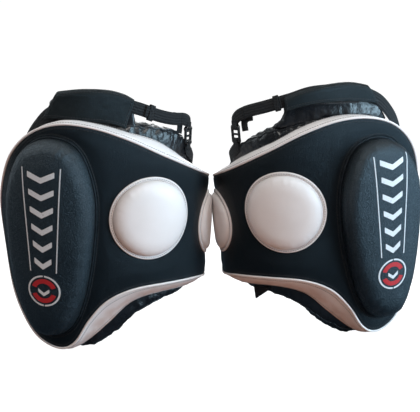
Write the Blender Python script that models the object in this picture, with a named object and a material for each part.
"""A pair of kick shields for a pad holder's thighs, standing as they are worn.

Each shield is a padded shell round the front of one thigh: a leather front panel over foam,
a raised oval kick block on its outer half, a round target on the front and another on the
inner wing, a satin cushion against the leg, and a hip panel whose flap closes over a strap.
Metres, +Z up. The wearer faces -Y, so the left shield is at +X. The origin lies midway
between the two thighs, at the height of the front targets' centres.

Every sewn piece is drawn flat, as a cutter draws it: u runs round the thigh, z runs up and
depth runs outwards from the face of the front panel. It is cut along the thigh's facets and
then wrapped onto them, so that neighbouring layers keep an even gap.
"""

import math

import bmesh
import bpy
import numpy as np
from mathutils import Vector

# The front panel's face is an ellipse in plan, and widens with height.
HALF_WIDTH = 0.175
HALF_DEPTH = 0.134
TAPER = 0.42
FULL_WIDTH_Z = 0.065
HALF_GAP = 0.0028
THIGH_X = HALF_WIDTH + HALF_GAP
FACET_DEG = 15
GAP = 0.0003
SEAM_GAP = 0.0008
EDGE_GAP = 0.0020

# Layers, as depths from the front panel's face; inwards is negative.
SKIN = 0.002
SHELL_BACK = -0.030
LINER_BACK = -0.058
PIPING = 0.003
GUSSET = 0.0025

KICK_HEIGHT = 0.036
KICK_COVER = 0.0016
WELT = 0.004

# A target's outline is round along the surface. The panel leans, so its height is a little less.
FRONT_TARGET = {
    "angle": -26, "z": 0.0, "radius": 0.068, "seam": 0.0610, "height": 0.0175, "lean": 0.95,
}
INNER_TARGET = {
    "angle": -86, "z": -0.028, "radius": 0.053, "seam": 0.0465, "height": 0.0078, "lean": 1.0,
}
FLANGE = 0.0022
TARGET_COVER = 0.0014

HIP_PANEL_DEPTHS = (-0.0500, -0.0360)
FLAP_DEPTHS = (-0.0325, -0.0300)
HIP_STRAP_WIDTH = 0.020
HIP_STRAP_THICK = 0.0024
PATCH_THICK = 0.0012
PATCH_ANGLES = (-8, 18)
PATCH_HEIGHT = 0.007

THIGH_STRAPS = {"upper": -0.010, "lower": -0.068}
THIGH_STRAP_WIDTH = 0.035
THIGH_STRAP_DEPTHS = (-0.0375, -0.0355)
RING_DEPTHS = (-0.0352, -0.0322)
RING_BAR = 0.003
RING_LENGTH = 0.016
RING_REACH = 0.010
STRAP_END_DEPTHS = (-0.0310, -0.0286)
STRAP_END_LENGTH = 0.070

BUCKLE = {"angle": -66, "z": 0.119, "width": 0.026, "height": 0.026, "bar": 0.004}
BUCKLE_DEPTHS = (-0.0305, -0.0255)

SIDES = {"right": -1, "left": 1}

# Outlines are points (degrees round the thigh, height). Positive degrees are the outer side.
# The two shields are sewn by hand and differ a little.
# The third number is how much higher the rear edge of the shell lies than its front edge.
SHELL_LOW = [
    (64, 0.062, 0.003), (78, 0.008, 0.001), (84, -0.050, 0.000), (77, -0.108, -0.003),
    (63, -0.153, -0.004), (48, -0.190, -0.005), (31, -0.206, -0.006), (20, -0.195, -0.012),
    (10, -0.157, -0.034), (-1, -0.127, -0.042), (-16, -0.1115, -0.028), (-36, -0.109, -0.021),
    (-60, -0.112, -0.020), (-88, -0.120, -0.016), (-104, -0.112, -0.012), (-113, -0.085, -0.006),
    (-116, -0.035, 0.000), (-113, 0.018, 0.006), (-103, 0.042, 0.010), (-86, 0.050, 0.012),
    (-60, 0.067, 0.016),
]
SHELL = {
    "right": [
        (-35, 0.095, 0.020), (-15, 0.124, 0.015), (2, 0.144, 0.007), (18, 0.151, 0.004),
        (34, 0.139, 0.004), (50, 0.107, 0.004), *SHELL_LOW,
    ],
    "left": [
        (-35, 0.098, 0.019), (-15, 0.129, 0.012), (2, 0.1445, 0.006), (18, 0.1455, 0.004),
        (34, 0.132, 0.004), (50, 0.103, 0.004), *SHELL_LOW,
    ],
}
LINER = [
    (-115, -0.035), (-112, 0.018), (-104, 0.046), (-86, 0.072), (-62, 0.105), (-38, 0.126),
    (-18, 0.141), (0, 0.151), (18, 0.154), (34, 0.144), (50, 0.111), (64, 0.064),
    (77, 0.010), (83, -0.050), (77, -0.112), (63, -0.162), (48, -0.202), (32, -0.217),
    (16, -0.217), (2, -0.205), (-10, -0.187), (-20, -0.166), (-38, -0.147), (-62, -0.140),
    (-88, -0.130), (-104, -0.114), (-112, -0.085),
]
KICK_BLOCK = {
    "right": [
        (24, 0.130), (10, 0.111), (3.5, 0.045), (5, -0.030), (11, -0.112), (20, -0.165),
        (33, -0.182), (44, -0.168), (52, -0.110), (54, -0.030), (50, 0.050), (39, 0.110),
    ],
    "left": [
        (24, 0.113), (11, 0.098), (4.5, 0.045), (5, -0.030), (11, -0.110), (20, -0.163),
        (33, -0.180), (44, -0.166), (52, -0.110), (54, -0.030), (50, 0.045), (38, 0.096),
    ],
}
HIP_PANEL_TOP = [
    (-36, 0.1310), (-30, 0.141), (-27, 0.156), (-26.5, 0.176), (-20, 0.190), (0, 0.199),
    (18, 0.1975), (28, 0.188), (33, 0.168), (38, 0.152), (42, 0.1345),
]
FLAP_TOP = [(-22, 0.188), (-14, 0.1945), (0, 0.199), (14, 0.199), (23, 0.194)]
FLAP_BOTTOM = {
    "right": [(33, 0.155), (20, 0.160), (0, 0.156), (-17, 0.146)],
    "left": [(29, 0.160), (16, 0.165), (0, 0.164), (-24, 0.153)],
}
HIP_STRAP = {
    "right": [
        (64, 0.0870, -0.0325), (58, 0.1050, -0.0312), (51, 0.1250, -0.0305), (44, 0.1440, -0.0308),
        (37, 0.1580, -0.0343), (27, 0.1720, -0.0343), (12, 0.1810, -0.0343), (-8, 0.1800, -0.0343),
        (-23, 0.1680, -0.0343), (-36, 0.1560, -0.0350), (-48, 0.1490, -0.0330),
        (-59, 0.1465, -0.0290), (-65.4, 0.1415, -0.0280), (-66, 0.1380, -0.0280),
        (-66, 0.1330, -0.0280),
    ],
    "left": [
        (68, 0.0790, -0.0325), (62, 0.1040, -0.0312), (54, 0.1320, -0.0305), (43, 0.1600, -0.0305),
        (30, 0.1800, -0.0343), (12, 0.1870, -0.0343), (-8, 0.1850, -0.0343), (-23, 0.1740, -0.0343),
        (-38, 0.1640, -0.0350), (-51, 0.1570, -0.0330), (-60, 0.1500, -0.0290), (-65.5, 0.1420, -0.0280),
        (-66, 0.1380, -0.0280), (-66, 0.1330, -0.0280),
    ],
}
STRAP_ANCHOR = [
    (-66, 0.1010, -0.0280), (-66, 0.0980, -0.0280), (-69, 0.0930, -0.0280),
    (-74, 0.0870, -0.0280), (-80, 0.0795, -0.0280),
]
STRAP_TAB = [(-58, -0.1335), (-42, -0.1335), (-45, -0.141), (-57, -0.157)]
STRAP_TAB_DEPTHS = (-0.029, -0.027)

LEATHER_BLACK = ((0.012, 0.013, 0.015), 0.42)
LEATHER_WHITE = ((0.80, 0.77, 0.75), 0.45)
SATIN_BLACK = ((0.010, 0.010, 0.013), 0.30)
WEBBING_BLACK = ((0.012, 0.012, 0.013), 0.75)
PLASTIC_BLACK = ((0.015, 0.015, 0.016), 0.35)
FOAM_GREY = ((0.20, 0.20, 0.21), 0.90)
HOOK_BLACK = ((0.020, 0.020, 0.021), 0.95)


def plan_of_thigh():
    """The facets' corners in plan, the outward directions there, and the run u up to each."""
    angles = np.arange(-135, 271, FACET_DEG)
    turn = np.radians(angles)
    corners = np.stack([HALF_WIDTH * np.sin(turn), -HALF_DEPTH * np.cos(turn)], axis=1)
    outward = np.stack([np.sin(turn) / HALF_WIDTH, -np.cos(turn) / HALF_DEPTH], axis=1)
    outward /= np.linalg.norm(outward, axis=1)[:, None]
    steps = np.linalg.norm(np.diff(corners, axis=0), axis=1)
    run = np.concatenate([[0], np.cumsum(steps)])
    return angles, corners, outward, run - np.interp(0, angles, run)


ANGLES, CORNERS, OUTWARD, RUN = plan_of_thigh()


def flat(angle):
    """The run u of an angle round the thigh."""
    return float(np.interp(angle, ANGLES, RUN))


def wrapped(side, u, z, depth):
    """The place in space of a flat point."""
    corner = [np.interp(u, RUN, CORNERS[:, i]) for i in range(2)]
    normal = [np.interp(u, RUN, OUTWARD[:, i]) for i in range(2)]
    widen = 1 + TAPER * (z - FULL_WIDTH_Z)
    x = THIGH_X + widen * corner[0] + depth * normal[0]
    return Vector((SIDES[side] * x, widen * corner[1] + depth * normal[1], z))


def curve(points, steps, closed):
    """A smooth curve through points of any dimension, with steps pieces between two of them."""
    points = np.array(points, float)
    count = len(points)
    spans = count if closed else count - 1
    found = []
    for i in range(spans):
        around = [i - 1, i, i + 1, i + 2]
        if closed:
            around = [k % count for k in around]
        else:
            around = [min(max(k, 0), count - 1) for k in around]
        before, start, end, after = points[around]
        for t in np.arange(steps) / steps:
            found.append(
                start
                + 0.5 * t * (end - before)
                + t * t * (before - 2.5 * start + 2 * end - 0.5 * after)
                + t**3 * (1.5 * (start - end) + 0.5 * (after - before))
            )
    if not closed:
        found.append(points[-1])
    return np.array(found)


def flattened(points):
    """Outline points with their angles turned into runs."""
    return [(flat(point[0]), *point[1:]) for point in points]


def outline(points, steps=1):
    return curve(flattened(points), steps, closed=True)


def circle(target, radius, count=16):
    turn = np.arange(count) * 2 * math.pi / count
    centre = np.array([flat(target["angle"]), target["z"]])
    return centre + radius * np.stack([np.cos(turn), target["lean"] * np.sin(turn)], axis=1)


def inset(ring, distance):
    """The closed outline with each edge moved inwards; a negative distance moves it outwards."""
    ring = np.array(ring)
    edge = np.roll(ring, -1, axis=0) - ring
    edge /= np.linalg.norm(edge, axis=1)[:, None]
    x, y = ring[:, 0], ring[:, 1]
    area = (x * np.roll(y, -1) - y * np.roll(x, -1)).sum()
    ahead = np.stack([-edge[:, 1], edge[:, 0]], axis=1) * math.copysign(1, area)
    behind = np.roll(ahead, 1, axis=0)
    mitre = (ahead + behind) / (1 + (ahead * behind).sum(axis=1))[:, None]
    return ring + mitre * distance


def at(ring, depth):
    """The ring's flat points at one depth."""
    return [(point[0], point[1], depth) for point in ring]


def edge_at(ring, z, last):
    """The run at which the closed outline crosses a height: the last crossing, or the first."""
    found = []
    for here, there in zip(ring, np.roll(ring, -1, axis=0)):
        if (here[1] - z) * (there[1] - z) <= 0 and here[1] != there[1]:
            found.append(here[0] + (there[0] - here[0]) * (z - here[1]) / (there[1] - here[1]))
    return max(found) if last else min(found)


def body_through(rings, looped=False):
    """A closed flat body through rings of equal count, with its ends filled unless it loops."""
    mesh = bmesh.new()
    rows = [[mesh.verts.new(point) for point in ring] for ring in rings]
    pairs = list(zip(rows, rows[1:] + rows[:1])) if looped else list(zip(rows, rows[1:]))
    for row, after in pairs:
        # Walls that face each other are split along the same diagonal, so that they stay apart.
        if row[0].co.z < after[0].co.z:
            row, after = after, row
        for i in range(len(row)):
            k = (i + 1) % len(row)
            mesh.faces.new((row[i], row[k], after[k]))
            mesh.faces.new((row[i], after[k], after[i]))
    if not looped:
        mesh.faces.new(rows[0])
        mesh.faces.new(rows[-1])
    return mesh


def sheet(ring, depths):
    return body_through([at(ring, depths[0]), at(ring, depths[1])])


def band(outer_front, outer_back, inner_back, inner_front):
    """A closed strip of rectangular section that runs round an outline."""
    return body_through([outer_front, outer_back, inner_back, inner_front], looped=True)


def ribbon(points, width, thick, steps=2):
    """A strap along points (angle, height, depth)."""
    path = curve(flattened(points), steps, closed=False)
    ahead = np.gradient(path[:, :2], axis=0)
    ahead /= np.linalg.norm(ahead, axis=1)[:, None]
    across = np.stack([-ahead[:, 1], ahead[:, 0]], axis=1) * width / 2
    rings = []
    for (u, z, depth), (du, dz) in zip(path, across):
        rings.append([
            (u - du, z - dz, depth - thick / 2), (u + du, z + dz, depth - thick / 2),
            (u + du, z + dz, depth + thick / 2), (u - du, z - dz, depth + thick / 2),
        ])
    return body_through(rings)


def plate(runs, heights, holes, depths):
    """A flat plate on a grid of lines, without the cells named in holes."""
    mesh = bmesh.new()
    layers = [
        [[mesh.verts.new((u, z, depth)) for z in heights] for u in runs] for depth in depths
    ]
    cells = {
        (i, k) for i in range(len(runs) - 1) for k in range(len(heights) - 1)
    } - set(holes)
    for i, k in cells:
        corners = [(i, k), (i + 1, k), (i + 1, k + 1), (i, k + 1)]
        for layer in layers:
            mesh.faces.new([layer[a][b] for a, b in corners])
        neighbours = [(i, k - 1), (i + 1, k), (i, k + 1), (i - 1, k)]
        for start, end, beside in zip(corners, corners[1:] + corners[:1], neighbours):
            if beside not in cells:
                mesh.faces.new([
                    layers[0][start[0]][start[1]], layers[0][end[0]][end[1]],
                    layers[1][end[0]][end[1]], layers[1][start[0]][start[1]],
                ])
    loose = [vertex for vertex in mesh.verts if not vertex.link_faces]
    bmesh.ops.delete(mesh, geom=loose, context="VERTS")
    return mesh


def face_outwards(mesh):
    """Turns the faces of one closed flat body outwards."""
    bmesh.ops.recalc_face_normals(mesh, faces=mesh.faces[:])
    if mesh.calc_volume(signed=True) < 0:
        bmesh.ops.reverse_faces(mesh, faces=mesh.faces[:])


def finish(name, look):
    colour, roughness = look
    material = bpy.data.materials.new(name + "_finish")
    material.use_nodes = True
    shader = material.node_tree.nodes["Principled BSDF"]
    shader.inputs["Base Color"].default_value = (*colour, 1)
    shader.inputs["Roughness"].default_value = roughness
    shader.inputs["Metallic"].default_value = 0
    material.diffuse_color = (*colour, 1)
    return material


class Shield:
    """One shield of the pair. Its pieces hang from an empty on the thigh's axis."""

    def __init__(self, side):
        self.side = side
        self.frame = bpy.data.objects.new(side + "_shield", None)
        self.frame.location = (SIDES[side] * THIGH_X, 0, 0)
        bpy.context.collection.objects.link(self.frame)
        self.shell = outline([point[:2] for point in SHELL[side]])
        self.shell_back = outline([(angle, z + flare) for angle, z, flare in SHELL[side]])
        self.liner = outline(LINER)
        self.kick = outline(KICK_BLOCK[side], steps=2)

    def add(self, name, mesh, look, hinge=None):
        """Cuts the flat body along the facets, wraps it and makes it an object of this shield."""
        face_outwards(mesh)
        runs = [vertex.co.x for vertex in mesh.verts]
        for run in RUN:
            if min(runs) < run < max(runs):
                everything = mesh.verts[:] + mesh.edges[:] + mesh.faces[:]
                bmesh.ops.bisect_plane(
                    mesh, geom=everything, dist=1e-6, plane_co=(run, 0, 0), plane_no=(1, 0, 0)
                )
        origin = Vector(self.frame.location) if hinge is None else hinge
        for vertex in mesh.verts:
            vertex.co = wrapped(self.side, *vertex.co) - origin
        if self.side == "right":
            bmesh.ops.reverse_faces(mesh, faces=mesh.faces[:])
        name = f"{self.side}_{name}"
        data = bpy.data.meshes.new(name)
        mesh.to_mesh(data)
        mesh.free()
        data.materials.append(finish(name, look))
        data.set_sharp_from_angle(angle=math.radians(35))
        piece = bpy.data.objects.new(name, data)
        piece.parent = self.frame
        piece.location = origin - Vector(self.frame.location)
        bpy.context.collection.objects.link(piece)

    def build_shell(self):
        front, back = self.shell, self.shell_back
        self.add("front_skin", sheet(inset(front, PIPING + GAP), (-SKIN, 0)), LEATHER_BLACK)
        self.add(
            "edge_piping",
            band(
                at(front, PIPING / 2), at(front, -PIPING / 2),
                at(inset(front, PIPING), -PIPING / 2), at(inset(front, PIPING), PIPING / 2),
            ),
            LEATHER_WHITE,
        )
        gusset_front = -PIPING / 2 - GAP
        self.add(
            "side_gusset",
            band(
                at(front, gusset_front), at(back, SHELL_BACK),
                at(inset(back, GUSSET), SHELL_BACK), at(inset(front, GUSSET), gusset_front),
            ),
            LEATHER_WHITE,
        )
        wall = GUSSET + SEAM_GAP
        core = [at(inset(back, wall), SHELL_BACK), at(inset(front, wall), -SKIN - GAP)]
        self.add("foam_core", body_through(core), FOAM_GREY)
        self.add("liner_cushion", sheet(self.liner, (LINER_BACK, SHELL_BACK - GAP)), SATIN_BLACK)

    def dome(self, name, profile, cover, core_look, cover_look):
        """A foam core and the open-based cover over it. profile gives (inset, height) rings."""
        rings = [at(ring, height) for ring, height in profile(0)]
        inner = [at(ring, height) for ring, height in profile(cover)]
        core = [at(ring, height) for ring, height in profile(cover + GAP)]
        self.add(name + "_core", body_through(core), core_look)
        self.add(name + "_cover", body_through([*rings[::-1], *inner]), cover_look)

    def build_kick_block(self):
        def profile(inwards):
            """The block's rings from its base up, all moved inwards by one distance."""
            steps = ((0, GAP, 0), (0.002, 0.024, 0.5), (0.015, KICK_HEIGHT, 1))
            return [
                (inset(self.kick, step + inwards), height - drop * inwards)
                for step, height, drop in steps
            ]

        self.dome("kick_block", profile, KICK_COVER, FOAM_GREY, LEATHER_BLACK)
        outer, inner = inset(self.kick, -GAP - WELT), inset(self.kick, -GAP)
        low, high = GAP, GAP + WELT
        self.add(
            "kick_block_welt",
            band(at(outer, high), at(outer, low), at(inner, low), at(inner, high)),
            LEATHER_BLACK,
        )

    def build_target(self, name, target):
        def profile(inwards):
            """The target's rings from its base up to its flattened crown."""
            rise = target["height"] - GAP
            seam = target["seam"]
            steps = ((0, 0), (0.004, 0.65), (0.020, 1.0))
            return [
                (
                    circle(target, seam - step - inwards),
                    GAP + rise * share - (inwards if share else 0),
                )
                for step, share in steps
            ]

        self.dome(name, profile, TARGET_COVER, FOAM_GREY, LEATHER_WHITE)
        outer, inner = circle(target, target["radius"]), circle(target, target["seam"] + GAP)
        low, high = GAP, GAP + FLANGE
        self.add(
            name + "_flange",
            band(at(outer, high), at(outer, low), at(inner, low), at(inner, high)),
            LEATHER_WHITE,
        )

    def build_hip_panel(self):
        top = curve(flattened(HIP_PANEL_TOP), 2, closed=False)
        seam = [
            (u, z + SEAM_GAP) for u, z in self.liner[::-1] if z > 0.1 and top[0][0] < u < top[-1][0]
        ]
        self.add("hip_panel", sheet([*top, *seam], HIP_PANEL_DEPTHS), SATIN_BLACK)
        hinge = self.flap_hinge()
        flap = np.array([
            *curve(flattened(FLAP_TOP), 2, closed=False),
            *curve(flattened(FLAP_BOTTOM[self.side]), 2, closed=False),
        ])
        self.add("belt_flap", sheet(flap, FLAP_DEPTHS), LEATHER_BLACK, hinge)
        low = max(z for _, z in FLAP_BOTTOM[self.side]) + 0.001
        left, right = (flat(angle) for angle in PATCH_ANGLES)
        corners = [(left, low), (right, low), (right, low + PATCH_HEIGHT), (left, low + PATCH_HEIGHT)]
        hook_top = FLAP_DEPTHS[0] - GAP
        loop_bottom = HIP_PANEL_DEPTHS[1] + GAP
        hook = sheet(corners, (hook_top - PATCH_THICK, hook_top))
        loop = sheet(corners, (loop_bottom, loop_bottom + PATCH_THICK))
        self.add("belt_flap_hook", hook, HOOK_BLACK, hinge)
        self.add("belt_flap_loop", loop, HOOK_BLACK)

    def flap_hinge(self):
        """A point on the flap's fold line, which runs along X."""
        end = wrapped(self.side, flat(FLAP_TOP[0][0]), FLAP_TOP[0][1], FLAP_DEPTHS[0])
        return Vector((self.frame.location.x, end.y, max(z for _, z in FLAP_TOP)))

    def build_hip_strap(self):
        thick = HIP_STRAP_THICK
        self.add("hip_strap", ribbon(HIP_STRAP[self.side], HIP_STRAP_WIDTH, thick), WEBBING_BLACK)
        self.add("strap_anchor", ribbon(STRAP_ANCHOR, HIP_STRAP_WIDTH, thick), WEBBING_BLACK)
        bar, width, height = BUCKLE["bar"], BUCKLE["width"], BUCKLE["height"]
        left = flat(BUCKLE["angle"]) - width / 2
        low = BUCKLE["z"] - height / 2
        window = (height - 3 * bar) / 2
        runs = [left, left + bar, left + width - bar, left + width]
        heights = np.cumsum([low, bar, window, bar, window, bar])
        hinge = wrapped(self.side, left + width / 2, low + bar / 2, sum(BUCKLE_DEPTHS) / 2)
        frame = plate(runs, heights, {(1, 1), (1, 3)}, BUCKLE_DEPTHS)
        self.add("ladder_buckle", frame, PLASTIC_BLACK, hinge)

    def build_thigh_strap(self, place):
        """A strap from the inner wing round the back of the thigh and through a ring."""
        middle = THIGH_STRAPS[place]
        half = THIGH_STRAP_WIDTH / 2
        ring_start = edge_at(self.shell_back, middle, last=True) + RING_REACH
        bar_run = ring_start + RING_LENGTH - RING_BAR / 2
        around = flat(ANGLES[0] + 360) - flat(ANGLES[0])
        heights = np.linspace(middle - half, middle + half, 6)
        sewn = [
            (edge_at(self.liner, z, last=False) + around - EDGE_GAP, z) for z in heights
        ]
        start = ring_start + 0.009
        strap = [(start, middle - half), *sewn, (start, middle + half)]
        self.add(f"{place}_thigh_strap", sheet(strap, THIGH_STRAP_DEPTHS), WEBBING_BLACK)
        tall = half + 0.001
        runs = [ring_start, ring_start + RING_BAR, ring_start + RING_LENGTH - RING_BAR,
                ring_start + RING_LENGTH]
        heights = [middle - tall - RING_BAR, middle - tall, middle + tall,
                   middle + tall + RING_BAR]
        self.add(f"{place}_ring", plate(runs, heights, {(1, 1)}, RING_DEPTHS), PLASTIC_BLACK)
        hinge = wrapped(self.side, bar_run, middle, sum(RING_DEPTHS) / 2)
        end = [(bar_run, middle - half), (bar_run + STRAP_END_LENGTH, middle - half),
               (bar_run + STRAP_END_LENGTH, middle + half), (bar_run, middle + half)]
        self.add(f"{place}_strap_end", sheet(end, STRAP_END_DEPTHS), HOOK_BLACK, hinge)
        heights = np.linspace(middle + half, middle - half, 6)
        edge = [(edge_at(self.liner, z, last=True) + EDGE_GAP, z) for z in heights]
        tab = [*edge, (ring_start + 0.007, middle - half), (ring_start + 0.007, middle + half)]
        self.add(f"{place}_ring_tab", sheet(tab, THIGH_STRAP_DEPTHS), WEBBING_BLACK)

    def build(self):
        self.build_shell()
        self.build_kick_block()
        self.build_target("front_target", FRONT_TARGET)
        self.build_target("inner_target", INNER_TARGET)
        self.build_hip_panel()
        self.build_hip_strap()
        for place in THIGH_STRAPS:
            self.build_thigh_strap(place)


def main():
    for item in list(bpy.data.objects):
        bpy.data.objects.remove(item, do_unlink=True)
    for side in SIDES:
        shield = Shield(side)
        shield.build()
        if side == "left":
            shield.add("strap_tab", sheet(flattened(STRAP_TAB), STRAP_TAB_DEPTHS), WEBBING_BLACK)


main()
